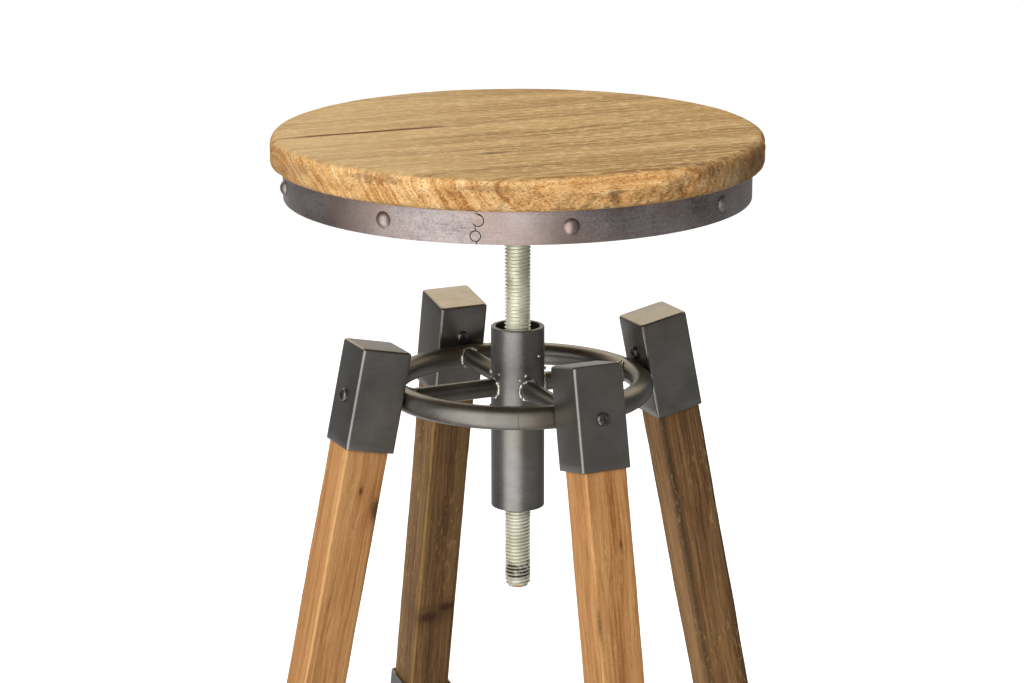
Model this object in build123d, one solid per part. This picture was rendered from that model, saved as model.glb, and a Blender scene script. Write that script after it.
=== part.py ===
from build123d import *
import os
from math import cos, radians, sin, tan

# Adjustable swivel stool. A round wooden seat, bound with a steel band, is fixed to the top of a
# threaded rod. The rod turns in two threaded bushes inside a hub sleeve. Four spokes and a ring carry
# the hub between four splayed wooden legs, which stand in square steel caps. A second ring, lower
# down, is the footrest.
#
# Millimetres and degrees, +Z up. The origin is on the floor, under the axis of the rod. Heights are
# above the floor, with the seat at its rest height. The legs stand on the diagonals.

# ---- Driving dimensions --------------------------------------------------------------------------

# Seat
seat_top_height = 715.0
seat_diameter = 336.0
bare_edge_height = 21.5          # wood that shows above the band
seat_top_round = 8.0
seat_lower_round = 4.0

# Steel band round the seat
band_height = 22.5
band_thickness = 3.0
band_setback = 8.5               # from the wood's edge in to the band's outer face
band_clearance = 0.1             # between the band and the wood inside it
band_seam_azimuth = -80.7

# Domed nails that hold the band
nail_count = 8
nail_head_diameter = 11.0
nail_head_height = 3.4
nail_shank_diameter = 3.0
nail_shank_length = 22.0
nail_point_length = 3.0

# Plate that joins the rod to the seat
plate_diameter = 112.0
plate_thickness = 5.0
plate_edge_round = 1.0
plate_screw_count = 4
plate_screw_circle = 84.0
plate_screw_azimuth = 45.0       # of the first screw

# Threaded rod: M18 x 2.5, held at its crest diameter
rod_diameter = 18.0
rod_end_reach = 59.0             # of the rod's lower end below the hub, at rest
rod_end_chamfer = 1.8
thread_running_clearance = 0.05  # radial, between the rod and the bushes

# Hub
hub_outer_diameter = 37.0
hub_wall = 3.0
hub_length = 128.5
hub_rise = 2.5                   # of the hub's top above the middle of the cap tops
hub_rim_round = 0.5
bush_height = 22.0
bush_clearance = 0.1
upper_bush_recess = 4.0
lower_bush_recess = 0.5

# Legs and their caps
cap_top_height = 576.0           # at the middle of the cap's top
cap_top_radius = 104.4           # from the rod's axis to the middle of the cap's top
leg_splay = 11.7
leg_azimuths = {"back_right": 45.0, "back_left": 135.0, "front_left": 225.0, "front_right": 315.0}
socket_width = 36.0
socket_wall = 1.2
socket_corner_round = 2.0
socket_inner_round = 0.6
cap_length = 70.0
cap_top_thickness = 2.0
cap_top_edge_round = 0.8
leg_clearance = 0.2              # between the wood and its socket's outer wall, where it rests
leg_slack = 1.8                  # between the wood and its socket's inner wall
leg_edge_round = 2.2
leg_top_gap = 1.0

# Rings and spokes
ring_drop = 39.5                 # of the upper ring below the middle of the cap tops
ring_bar_diameter = 16.0
spoke_diameter = 13.0
weld_gap = 0.1                   # a weld's thickness, between parts that are welded together

# Footrest
footrest_height = 226.5
footrest_bar_diameter = 16.0
footrest_sleeve_length = 70.0
footrest_sleeve_rise = 40.0      # of a sleeve's top above the ring's middle, along the leg

# Pan-head screws
screw_head_diameter = 9.4
screw_head_height = 2.6
screw_head_round = 1.9
screw_shank_diameter = 4.0
screw_length = 20.0
screw_point_length = 1.8
point_taper = 0.4                # of the diameter, off each side at the point of a screw or nail
screw_hole_clearance = 0.1
recess_arm_length = 5.0
recess_arm_width = 1.1
recess_depth = 1.4
outer_screw_drop = 36.0          # below the cap's top, along the leg
inner_screw_drop = 24.0
footrest_screw_drop = 36.0       # below the sleeve's top, along the leg
plate_screw_length = 24.0

# Floor glides
glide_diameter = 24.0
glide_thickness = 5.0
glide_edge_round = 1.2
glide_nail_diameter = 2.4
glide_nail_length = 20.0
glide_nail_head_diameter = 6.0
glide_nail_head_height = 1.2
glide_nail_head_recess = 1.0     # from the glide's underside up to the nail's head
glide_nail_clearance = 0.1

cut_past = 1.0                   # how far a cut runs past the face it opens

# ---- Levels and radii worked out from them -------------------------------------------------------

lip_underside = seat_top_height - bare_edge_height
band_underside = lip_underside - band_height
band_outer_radius = seat_diameter / 2 - band_setback
band_inner_radius = band_outer_radius - band_thickness
plate_underside = band_underside - plate_thickness
rod_radius = rod_diameter / 2
bush_bore_radius = rod_radius + thread_running_clearance
hub_outer_radius = hub_outer_diameter / 2
hub_bore_radius = hub_outer_radius - hub_wall
hub_top = cap_top_height + hub_rise
hub_bottom = hub_top - hub_length
leg_width = socket_width - 2 * socket_wall - leg_clearance - leg_slack
leg_outset = (leg_slack - leg_clearance) / 2
ring_height = cap_top_height - ring_drop
splay = radians(leg_splay)


def socket_inner_face_radius(height):
    """Distance from the rod's axis to the inner faces of the caps and sleeves, at a height."""
    face_radius_at_cap_top = cap_top_radius - socket_width / 2 / cos(splay)
    return face_radius_at_cap_top + (cap_top_height - height) * tan(splay)


def ring_radius_at(height, bar_diameter):
    """Middle radius of a ring whose bar rests against the inner faces at that height."""
    return socket_inner_face_radius(height) - bar_diameter / 2 / cos(splay) - weld_gap


ring_radius = ring_radius_at(ring_height, ring_bar_diameter)
footrest_radius = ring_radius_at(footrest_height, footrest_bar_diameter)
footrest_drop = (cap_top_height - footrest_height) / cos(splay)
footrest_sleeve_drop = footrest_drop - footrest_sleeve_rise


# ---- Placing -------------------------------------------------------------------------------------

def leg_place(azimuth, drop=0.0):
    """Where a leg's pieces go: local X points outward across the leg and local Z up along it.

    The origin is on the leg's middle line, the given distance down it from the top of its cap.
    """
    outward = Vector(cos(radians(azimuth)), sin(radians(azimuth)), 0)
    upward = Vector(0, 0, 1)
    along = upward * cos(splay) - outward * sin(splay)
    across = outward * cos(splay) + upward * sin(splay)
    top_middle = outward * cap_top_radius + upward * cap_top_height
    return Plane(origin=top_middle - along * drop, x_dir=across, z_dir=along).location


def floor_place(azimuth):
    """The middle of a leg's foot, on the floor."""
    foot_radius = cap_top_radius + cap_top_height * tan(splay) + leg_outset / cos(splay)
    return Pos(foot_radius * cos(radians(azimuth)), foot_radius * sin(radians(azimuth)), 0)


def outer_face(drop):
    """A screw's place on the outer face of a socket, its shank pointing inward."""
    return Pos(socket_width / 2, 0, -drop) * Rot(0, 90, 0)


def inner_face(drop):
    """A screw's place on the inner face of a socket, its shank pointing outward."""
    return Pos(-socket_width / 2, 0, -drop) * Rot(0, -90, 0)


def around(count, start=0.0):
    """Evenly spaced turns about the rod's axis."""
    return [Rot(0, 0, start + index * 360 / count) for index in range(count)]


# ---- Fasteners -----------------------------------------------------------------------------------

def upright_cylinder(diameter, bottom, top):
    standing = (Align.CENTER, Align.CENTER, Align.MIN)
    return Pos(0, 0, bottom) * Cylinder(diameter / 2, top - bottom, align=standing)


def pan_head_screw(length):
    """Head above the XY plane, shank below it, and a cross recess in the head."""
    head = upright_cylinder(screw_head_diameter, 0, screw_head_height)
    head = fillet(head.edges().group_by(Axis.Z)[-1], screw_head_round)
    for turn in (0, 90):
        arm = Box(recess_arm_length, recess_arm_width, 2 * recess_depth)
        head -= Pos(0, 0, screw_head_height) * Rot(0, 0, turn) * arm
    shank = upright_cylinder(screw_shank_diameter, -length, 0)
    shank = chamfer(shank.edges().group_by(Axis.Z)[0], screw_point_length, point_taper * screw_shank_diameter)
    return head + shank


def screw_hole(length):
    """Room for a screw's shank, open a little above the XY plane."""
    diameter = screw_shank_diameter + 2 * screw_hole_clearance
    return upright_cylinder(diameter, -length - screw_hole_clearance, cut_past)


def domed_nail():
    """Domed head above the XY plane and a pointed shank below it."""
    head_radius = nail_head_diameter / 2
    dome_radius = (head_radius**2 + nail_head_height**2) / (2 * nail_head_height)
    dome = Pos(0, 0, nail_head_height - dome_radius) * Sphere(dome_radius)
    head = dome & upright_cylinder(nail_head_diameter, 0, nail_head_height)
    shank = upright_cylinder(nail_shank_diameter, -nail_shank_length, 0)
    shank = chamfer(shank.edges().group_by(Axis.Z)[0], nail_point_length, point_taper * nail_shank_diameter)
    return head + shank


def nail_hole():
    diameter = nail_shank_diameter + 2 * screw_hole_clearance
    return upright_cylinder(diameter, -nail_shank_length - screw_hole_clearance, cut_past)


# ---- Seat ----------------------------------------------------------------------------------------

def band_nail_places():
    """On the band's outer face, half way up, with the seam half way between two nails."""
    pitch = 360 / nail_count
    on_face = Pos(band_outer_radius, 0, band_underside + band_height / 2) * Rot(0, 90, 0)
    return [turn * on_face for turn in around(nail_count, band_seam_azimuth + pitch / 2)]


def plate_screw_places():
    """On the plate's underside, shanks pointing up."""
    under_plate = Pos(plate_screw_circle / 2, 0, plate_underside) * Rot(180, 0, 0)
    return [turn * under_plate for turn in around(plate_screw_count, plate_screw_azimuth)]


def make_seat_top():
    top = upright_cylinder(seat_diameter, lip_underside, seat_top_height)
    top = fillet(top.edges().group_by(Axis.Z)[-1], seat_top_round)
    top = fillet(top.edges().group_by(Axis.Z)[0], seat_lower_round)
    core = upright_cylinder(2 * (band_inner_radius - band_clearance), band_underside, lip_underside)
    seat = top + core
    for place in band_nail_places():
        seat -= place * nail_hole()
    for place in plate_screw_places():
        seat -= place * screw_hole(plate_screw_length)
    return seat


def make_seat_band():
    band = upright_cylinder(2 * band_outer_radius, band_underside, lip_underside)
    band -= upright_cylinder(2 * band_inner_radius, band_underside - cut_past, lip_underside + cut_past)
    for place in band_nail_places():
        band -= place * nail_hole()
    return band


def make_seat_plate():
    plate = upright_cylinder(plate_diameter, plate_underside, band_underside)
    plate = fillet(plate.edges().group_by(Axis.Z)[0], plate_edge_round)
    for place in plate_screw_places():
        plate -= place * screw_hole(plate_screw_length)
    return plate


# ---- Rod and hub ---------------------------------------------------------------------------------

def make_threaded_rod():
    rod = upright_cylinder(rod_diameter, hub_bottom - rod_end_reach, plate_underside)
    return chamfer(rod.edges().group_by(Axis.Z)[0], rod_end_chamfer)


def make_hub_sleeve():
    sleeve = upright_cylinder(2 * hub_outer_radius, hub_bottom, hub_top)
    sleeve -= upright_cylinder(2 * hub_bore_radius, hub_bottom - cut_past, hub_top + cut_past)
    rims = sleeve.edges().filter_by(GeomType.CIRCLE)
    outer_rims = [edge for edge in rims if edge.radius > hub_bore_radius + hub_wall / 2]
    return fillet(outer_rims, hub_rim_round)


def make_bush(bottom):
    top = bottom + bush_height
    bush = upright_cylinder(2 * (hub_bore_radius - bush_clearance), bottom, top)
    return bush - upright_cylinder(2 * bush_bore_radius, bottom - cut_past, top + cut_past)


def make_ring(height, radius, bar_diameter):
    return Pos(0, 0, height) * Torus(radius, bar_diameter / 2)


def make_spoke(azimuth):
    """A round bar from the hub to the ring, its ends shaped to both."""
    bar = Cylinder(spoke_diameter / 2, ring_radius, align=(Align.CENTER, Align.CENTER, Align.MIN))
    spoke = Rot(0, 0, azimuth) * Pos(0, 0, ring_height) * Rot(0, 90, 0) * bar
    spoke -= upright_cylinder(2 * (hub_outer_radius + weld_gap), hub_bottom, hub_top)
    return spoke - make_ring(ring_height, ring_radius, ring_bar_diameter + 2 * weld_gap)


# ---- Legs, caps, sleeves and feet ----------------------------------------------------------------

def square_bar(width, length, edge_round):
    """A square bar hanging down from the XY plane, with its long edges rounded."""
    bar = Box(width, width, length, align=(Align.CENTER, Align.CENTER, Align.MAX))
    return fillet(bar.edges().filter_by(Axis.Z), edge_round)


def make_leg_cap(azimuth):
    cap = square_bar(socket_width, cap_length, socket_corner_round)
    cap = fillet(cap.edges().group_by(Axis.Z)[-1], cap_top_edge_round)
    inside = square_bar(socket_width - 2 * socket_wall, cap_length, socket_inner_round)
    cap -= Pos(0, 0, -cap_top_thickness) * inside
    cap -= outer_face(outer_screw_drop) * screw_hole(screw_length)
    cap -= inner_face(inner_screw_drop) * screw_hole(screw_length)
    return leg_place(azimuth) * cap


def make_footrest_sleeve(azimuth):
    sleeve = square_bar(socket_width, footrest_sleeve_length, socket_corner_round)
    inside_length = footrest_sleeve_length + 2 * cut_past
    inside = square_bar(socket_width - 2 * socket_wall, inside_length, socket_inner_round)
    sleeve -= Pos(0, 0, cut_past) * inside
    sleeve -= outer_face(footrest_screw_drop) * screw_hole(screw_length)
    return leg_place(azimuth, footrest_sleeve_drop) * sleeve


def make_leg(azimuth):
    """Wood from just under the cap's top down to the glide, cut level at the foot."""
    top_drop = cap_top_thickness + leg_top_gap
    length_past_floor = (cap_top_height + leg_width) / cos(splay)
    leg = Pos(leg_outset, 0, -top_drop) * square_bar(leg_width, length_past_floor - top_drop, leg_edge_round)
    leg -= outer_face(outer_screw_drop) * screw_hole(screw_length)
    leg -= inner_face(inner_screw_drop) * screw_hole(screw_length)
    leg -= outer_face(footrest_sleeve_drop + footrest_screw_drop) * screw_hole(screw_length)
    leg = leg_place(azimuth) * leg
    below = Box(4 * leg_width, 4 * leg_width, 4 * leg_width, align=(Align.CENTER, Align.CENTER, Align.MAX))
    leg -= floor_place(azimuth) * Pos(0, 0, glide_thickness) * below
    nail_diameter = glide_nail_diameter + 2 * glide_nail_clearance
    return leg - floor_place(azimuth) * upright_cylinder(nail_diameter, 0, glide_nail_top() + glide_nail_clearance)


def glide_nail_top():
    return glide_nail_head_recess + glide_nail_head_height + glide_nail_length


def make_floor_glide(azimuth):
    glide = upright_cylinder(glide_diameter, 0, glide_thickness)
    glide = fillet(glide.edges().group_by(Axis.Z)[0], glide_edge_round)
    head_top = glide_nail_head_recess + glide_nail_head_height
    glide -= upright_cylinder(glide_nail_head_diameter + 2 * glide_nail_clearance, -cut_past, head_top)
    nail_diameter = glide_nail_diameter + 2 * glide_nail_clearance
    glide -= upright_cylinder(nail_diameter, 0, glide_thickness + cut_past)
    return floor_place(azimuth) * glide


def make_glide_nail(azimuth):
    head_top = glide_nail_head_recess + glide_nail_head_height
    nail = upright_cylinder(glide_nail_head_diameter, glide_nail_head_recess, head_top)
    nail += upright_cylinder(glide_nail_diameter, glide_nail_head_recess, glide_nail_top())
    return floor_place(azimuth) * nail


# ---- The whole stool -----------------------------------------------------------------------------

def make_parts():
    azimuths = leg_azimuths.values()
    screw = pan_head_screw(screw_length)
    plate_screw = pan_head_screw(plate_screw_length)
    sleeve_screw_place = outer_face(footrest_sleeve_drop + footrest_screw_drop)
    lower_bush_bottom = hub_bottom + lower_bush_recess
    upper_bush_bottom = hub_top - upper_bush_recess - bush_height
    parts = {
        "seat_top": make_seat_top(),
        "seat_band": make_seat_band(),
        "band_nails": Compound([place * domed_nail() for place in band_nail_places()]),
        "seat_plate": make_seat_plate(),
        "seat_plate_screws": Compound([place * plate_screw for place in plate_screw_places()]),
        "threaded_rod": make_threaded_rod(),
        "hub_sleeve": make_hub_sleeve(),
        "thread_bush_upper": make_bush(upper_bush_bottom),
        "thread_bush_lower": make_bush(lower_bush_bottom),
        "upper_ring": make_ring(ring_height, ring_radius, ring_bar_diameter),
        "footrest_ring": make_ring(footrest_height, footrest_radius, footrest_bar_diameter),
        "cap_screws_outer": Compound(
            [leg_place(azimuth) * outer_face(outer_screw_drop) * screw for azimuth in azimuths]
        ),
        "cap_screws_inner": Compound(
            [leg_place(azimuth) * inner_face(inner_screw_drop) * screw for azimuth in azimuths]
        ),
        "footrest_screws": Compound([leg_place(azimuth) * sleeve_screw_place * screw for azimuth in azimuths]),
        "glide_nails": Compound([make_glide_nail(azimuth) for azimuth in azimuths]),
    }
    for corner, azimuth in leg_azimuths.items():
        parts["spoke_" + corner] = make_spoke(azimuth)
        parts["leg_cap_" + corner] = make_leg_cap(azimuth)
        parts["leg_" + corner] = make_leg(azimuth)
        parts["footrest_sleeve_" + corner] = make_footrest_sleeve(azimuth)
        parts["floor_glide_" + corner] = make_floor_glide(azimuth)
    return parts


os.makedirs("parts", exist_ok=True)
for node, shape in make_parts().items():
    export_step(shape, f"parts/{node}.step")
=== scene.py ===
from math import ceil, cos, exp, hypot, pi, radians, sin, sqrt, tan

import bmesh
import bpy
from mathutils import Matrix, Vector, noise


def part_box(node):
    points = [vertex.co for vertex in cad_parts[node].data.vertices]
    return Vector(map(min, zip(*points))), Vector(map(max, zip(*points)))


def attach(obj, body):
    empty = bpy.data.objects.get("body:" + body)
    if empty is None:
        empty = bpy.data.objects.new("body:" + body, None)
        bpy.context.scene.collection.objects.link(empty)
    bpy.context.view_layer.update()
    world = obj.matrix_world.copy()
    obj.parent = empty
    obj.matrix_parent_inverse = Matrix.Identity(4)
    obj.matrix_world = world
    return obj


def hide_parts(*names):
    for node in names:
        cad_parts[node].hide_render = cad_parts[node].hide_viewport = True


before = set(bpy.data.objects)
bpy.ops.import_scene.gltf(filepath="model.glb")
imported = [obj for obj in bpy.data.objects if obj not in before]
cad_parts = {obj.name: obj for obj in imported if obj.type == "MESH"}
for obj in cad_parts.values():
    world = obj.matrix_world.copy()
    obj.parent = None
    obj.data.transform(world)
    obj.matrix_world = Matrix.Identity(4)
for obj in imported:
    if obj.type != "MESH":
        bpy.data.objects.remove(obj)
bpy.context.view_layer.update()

# Adjustable swivel stool: the looks of its wood, steel and thread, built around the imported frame.
# Metres, +Z up, origin on the floor under the rod. Azimuths are in degrees from +X.

MM = 0.001

# ---- Places taken from the frame ----

seat_low, seat_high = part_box("seat_top")
band_low, band_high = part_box("seat_band")
rod_low, rod_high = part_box("threaded_rod")
hub_low, hub_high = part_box("hub_sleeve")
ring_low, ring_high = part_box("upper_ring")
footrest_low, footrest_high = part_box("footrest_ring")

seat_radius = seat_high.x
seat_top = seat_high.z
lip_height = band_high.z
band_bottom = band_low.z
band_radius = band_high.x
rod_radius = rod_high.x
hub_radius = hub_high.x


def ring_sizes(low, high):
    """Height, middle radius and bar radius of a ring that lies level."""
    bar_radius = (high.z - low.z) / 2
    return (low.z + high.z) / 2, high.x - bar_radius, bar_radius


ring_height, ring_radius, ring_bar_radius = ring_sizes(ring_low, ring_high)
footrest_height, footrest_radius, footrest_bar_radius = ring_sizes(footrest_low, footrest_high)

# ---- Sizes that the frame's boxes don't give ----

leg_azimuths = {"back_right": 45, "back_left": 135, "front_left": 225, "front_right": 315}
splay = radians(11.7)
cap_top_radius = 104.4 * MM
cap_top_height = 576 * MM
socket_width = 36 * MM
leg_width = 31.6 * MM
leg_outset = 0.8 * MM
leg_top_drop = 3 * MM
glide_thickness = 5 * MM
spoke_radius = 6.5 * MM
band_thickness = 3 * MM
thread_pitch = 2.5 * MM
seat_grain_azimuth = 42
# Azimuth of the seat's side that is painted paler, as painted light from the key light's side
key_lit_side_azimuth = 194.5
seam_azimuth = -80.7
seam_shift = 2.6


def direction(azimuth):
    return Vector((cos(radians(azimuth)), sin(radians(azimuth)), 0))


def place_at(azimuth, radius, height):
    return direction(azimuth) * radius + Vector((0, 0, height))


def leg_axes(corner):
    """The middle of a cap's top, and the leg's outward, sideways and upward directions."""
    outward = direction(leg_azimuths[corner])
    upward = Vector((0, 0, 1))
    along = upward * cos(splay) - outward * sin(splay)
    across = outward * cos(splay) + upward * sin(splay)
    top = outward * cap_top_radius + upward * cap_top_height
    return top, across, along.cross(across), along


# ---- Camera ----

camera_azimuth = 19.45
camera_distance = 2.15
camera_height = 1.1215
camera_pitch = 14.46
camera_turn = 0.09
camera_roll = 0.055
camera_lens = 113.28


def make_camera():
    camera = add_object("camera", bpy.data.cameras.new("camera"))
    camera.data.sensor_width = 36
    camera.data.lens = camera_lens
    camera.data.clip_start = 0.05
    camera.data.clip_end = 200
    camera.location = place_at(camera_azimuth - 90, camera_distance, camera_height)
    camera.rotation_euler = (
        radians(90 - camera_pitch),
        radians(camera_roll),
        radians(camera_azimuth + camera_turn),
    )
    bpy.context.scene.camera = camera


# ---- Shader helpers ----

class Shades:
    """A material and the nodes that shade it. Each value is a number, a vector or a node's output."""

    def __init__(self, name):
        self.material = bpy.data.materials.new(name)
        self.material.use_nodes = True
        self.nodes = self.material.node_tree.nodes
        self.place = self.add("ShaderNodeTexCoord").outputs["Object"]

    def put(self, socket, value):
        """Links a node's output to a socket, or sets the socket to a plain value."""
        if isinstance(value, bpy.types.NodeSocket):
            self.material.node_tree.links.new(value, socket)
        else:
            socket.default_value = value

    def add(self, kind, inputs=(), **settings):
        """Adds a node. Inputs maps a socket's name or number to its value."""
        made = self.nodes.new(kind)
        for setting, value in settings.items():
            setattr(made, setting, value)
        for socket, value in dict(inputs).items():
            self.put(made.inputs[socket], value)
        return made

    def calc(self, operation, *values):
        return self.add("ShaderNodeMath", enumerate(values), operation=operation).outputs[0]

    def times(self, first, second):
        return self.calc("MULTIPLY", first, second)

    def times_plus(self, first, second, third):
        return self.calc("MULTIPLY_ADD", first, second, third)

    def vector(self, operation, *values):
        return self.add("ShaderNodeVectorMath", enumerate(values), operation=operation).outputs[0]

    def measure(self, operation, *values):
        """A number made from vectors: their dot product, or one's length."""
        return self.add("ShaderNodeVectorMath", enumerate(values), operation=operation).outputs["Value"]

    def off_axis(self):
        """How far a place is from the axis of the rod."""
        return self.measure("LENGTH", self.vector("MULTIPLY", self.place, (1, 1, 0)))

    def toward(self, azimuth):
        """How far a place lies from the rod's axis in one direction."""
        return self.parts_of((0, 0, 0), direction(azimuth))[0]

    def fade(self, value, start, end, most=1.0):
        """0 where the value is at start or before, most at end or past it, smooth between."""
        inputs = {"Value": value, "From Min": start, "From Max": end}
        made = self.add("ShaderNodeMapRange", inputs, interpolation_type="SMOOTHSTEP").outputs["Result"]
        return made if most == 1.0 else self.times(made, most)

    def mix(self, factor, first, second):
        return self.add("ShaderNodeMix", {"Factor": factor, 6: first, 7: second}, data_type="RGBA").outputs[2]

    def ramp(self, value, *stops):
        """A colour ramp, from (position, colour) pairs."""
        made = self.add("ShaderNodeValToRGB", {0: value})
        elements = made.color_ramp.elements
        while len(elements) < len(stops):
            elements.new(0.5)
        for element, (position, colour) in zip(elements, stops):
            element.position = position
            element.color = colour
        return made.outputs["Color"]

    def parts_of(self, origin, *axes):
        """The place in metres along each axis from an origin."""
        place = self.vector("SUBTRACT", self.place, origin)
        return [self.measure("DOT_PRODUCT", place, axis) for axis in axes]

    def stretched(self, parts, scales, shift=0.0):
        """A vector of the three parts, each times its scale, moved along by shift."""
        pairs = enumerate(zip(parts, scales))
        inputs = {i: self.times_plus(p, s, shift) for i, (p, s) in pairs}
        return self.add("ShaderNodeCombineXYZ", inputs).outputs[0]

    def noise(self, vector, scale=1.0, detail=3.0, roughness=0.5):
        inputs = {"Vector": vector, "Scale": scale, "Detail": detail, "Roughness": roughness}
        return self.add("ShaderNodeTexNoise", inputs).outputs["Fac"]

    def grain(self, parts, scales, shift=0.0, detail=3.0, roughness=0.5):
        """Noise drawn out along some of the parts."""
        return self.noise(self.stretched(parts, scales, shift), detail=detail, roughness=roughness)

    def oval(self, parts, middle, sizes):
        """1 at the edge of an oval patch, and less inside it."""
        total = 0.0
        for part, place, size in zip(parts, middle, sizes):
            offset = self.calc("DIVIDE", self.calc("SUBTRACT", part, place), size / 2)
            total = self.times_plus(offset, offset, total)
        return self.calc("SQRT", total)

    def bump(self, height, distance):
        inputs = {"Height": height, "Distance": distance, "Strength": 1.0}
        return self.add("ShaderNodeBump", inputs).outputs["Normal"]

    def finish(self, **sockets):
        """Sets the shader's own sockets, by name with _ for each space, and returns the material."""
        for name, value in sockets.items():
            self.put(self.nodes["Principled BSDF"].inputs[name.replace("_", " ")], value)
        return self.material


def rgb(red, green, blue):
    """A colour given as display values from 0 to 255."""
    linear = [((c / 255 + 0.055) / 1.055) ** 2.4 if c > 10 else c / 255 / 12.92 for c in (red, green, blue)]
    return (*linear, 1.0)


# ---- Wood ----

def seat_wood():
    """Pale reclaimed pine, with the grain across the seat and worn, rougher wood round its rim."""
    n = Shades("seat_wood")
    along, across, up = direction(seat_grain_azimuth), direction(seat_grain_azimuth + 90), (0, 0, 1)
    u, v, w = n.parts_of((0, 0, seat_top), along, across, up)
    v_bent = n.times_plus(n.grain((u, v, w), (4, 9, 9), detail=2), 0.03, v)
    beside_pith = n.calc("SUBTRACT", v_bent, pith_across)
    above_pith = n.calc("POWER", n.calc("ADD", w, pith_depth), 2)
    from_pith = n.calc("SQRT", n.times_plus(beside_pith, beside_pith, above_pith))
    rings = n.grain((from_pith, u, 0.0), (300, 3.5, 0), detail=4, roughness=0.62)
    boards = n.grain((from_pith, u, 0.0), (42, 1.6, 0), 4.1, detail=2)
    fibres = n.grain((u, v_bent, w), (30, 800, 800), roughness=0.65)
    tone = n.times_plus(fibres, 0.26, n.times_plus(boards, 0.26, n.times(rings, 0.48)))
    top_colour = n.ramp(tone, *seat_top_tones)
    flecks = n.grain((u, v_bent, w), (110, 1500, 1500), 8.8, detail=2)
    top_colour = n.mix(n.fade(flecks, 0.57, 0.68, 0.6), top_colour, rgb(104, 72, 38))
    dashes = n.grain((u, v_bent, w), (130, 400, 400), 2.7, roughness=0.7)
    top_colour = n.mix(n.fade(dashes, 0.52, 0.64, 0.42), top_colour, rgb(132, 98, 56))
    top_colour = n.mix(n.fade(dashes, 0.47, 0.36, 0.5), top_colour, rgb(226, 198, 150))
    lines = n.times(n.fade(rings, 0.60, 0.72), n.fade(boards, 0.40, 0.60))
    top_colour = n.mix(n.times(lines, 0.6), top_colour, rgb(118, 80, 42))
    # Painted light: the seat's top is painted paler on the key light's side, the left of the camera's view
    key_lit_side = n.fade(n.toward(key_lit_side_azimuth), -0.04, 0.15, 0.45)
    top_colour = n.mix(key_lit_side, top_colour, rgb(207, 176, 130))

    # Rim: a solid pattern, so end grain shows as rings and pits, and long grain as streaks
    pits = n.grain((u, v, w), (420, 1100, 1100), 1.9, roughness=0.75)
    edge_rings = n.grain((from_pith, u, 0.0), (520, 5, 0), 9.9)
    edge_tone = n.grain((u, v, w), (16, 60, 60), 5.5, detail=4, roughness=0.65)
    edge_colour = n.ramp(n.times_plus(edge_tone, 0.42, n.times(edge_rings, 0.58)), *seat_edge_tones)
    edge_colour = n.mix(n.fade(pits, 0.52, 0.62, 0.75), edge_colour, rgb(130, 84, 42))
    edge_colour = n.mix(n.fade(pits, 0.44, 0.34, 0.6), edge_colour, rgb(246, 212, 156))
    ragged = n.grain((u, v, w), (120, 120, 120), 4.4, detail=2)
    speckle = n.grain((u, v, w), (170, 170, 260), 6.6, detail=4, roughness=0.7)
    # Dark marks on the rim, and painted shade on its right end in the camera's view (the entries at 0 and 20
    # degrees)
    for azimuth, drop, wide, high, strength in rim_dark_marks_and_shade:
        origin = place_at(azimuth, seat_radius, seat_top - drop * MM)
        far = n.oval(n.parts_of(origin, direction(azimuth + 90), up), (0.0, 0.0), (wide * MM, high * MM))
        far = n.times_plus(speckle, 2.6, n.calc("SUBTRACT", far, 1.3))
        darkened_rim = n.times(n.fade(far, 1.15, 0.35, strength), n.fade(n.toward(azimuth), 0.10, 0.12))
        edge_colour = n.mix(darkened_rim, edge_colour, rgb(94, 62, 34))
    # Painted shade: the rim is darkened at its left and right ends as the camera sees it
    for azimuth, strength, shade_colour in shaded_rim_ends:
        edge_colour = n.mix(n.fade(n.toward(azimuth), 0.115, 0.168, strength), edge_colour, shade_colour)
    depth = n.times_plus(ragged, 2.4 * MM, n.times(w, -1))
    at_rim = n.times(n.fade(depth, 1.8 * MM, 3.8 * MM), n.fade(n.off_axis(), 0.14, 0.15))
    colour = n.mix(at_rim, top_colour, edge_colour)

    # The split runs along the grain from the rim, and dark spots lie in the grain
    split_along, split_across = n.parts_of(split_start(), along, across)
    reach = n.times(n.fade(split_along, 0.0, 24 * MM), n.fade(split_along, split_length + 6 * MM, split_length))
    near_top = n.fade(w, -12 * MM, -6 * MM)
    beside_split = n.fade(n.calc("ABSOLUTE", split_across), 4.0 * MM, 1.6 * MM)
    stain = n.times(n.times(beside_split, n.times(reach, near_top)), 0.85)
    colour = n.mix(stain, colour, rgb(96, 50, 28))
    for spot_u, spot_v, length, width, strength in seat_spots:
        far = n.oval((u, v), (spot_u, spot_v), (length, width))
        far = n.times_plus(ragged, 0.8, n.calc("SUBTRACT", far, 0.4))
        spot = n.times(n.fade(far, 1.0, 0.1), n.times(near_top, strength))
        colour = n.mix(spot, colour, rgb(92, 60, 44))

    relief = n.times_plus(edge_rings, 0.25, n.times_plus(fibres, 0.4, n.times(pits, 0.35)))
    height = n.times(relief, n.times_plus(at_rim, 1.3 * MM, 0.2 * MM))
    return n.finish(
        Base_Color=colour,
        Roughness=n.times_plus(fibres, 0.22, 0.55),
        Specular_IOR_Level=0.1,
        Normal=n.bump(height, 1.0),
    )


def in_grain(x, y):
    """A place on the seat, given in the object's X and Y, along and across the grain."""
    place = Vector((x, y, 0))
    return place.dot(direction(seat_grain_azimuth)), place.dot(direction(seat_grain_azimuth + 90))


split_length = 107 * MM
split_inner_end = Vector((-59 * MM, -8 * MM, 0))


def split_start():
    return Vector((0, 0, seat_top)) + split_inner_end - direction(seat_grain_azimuth) * split_length


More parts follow.
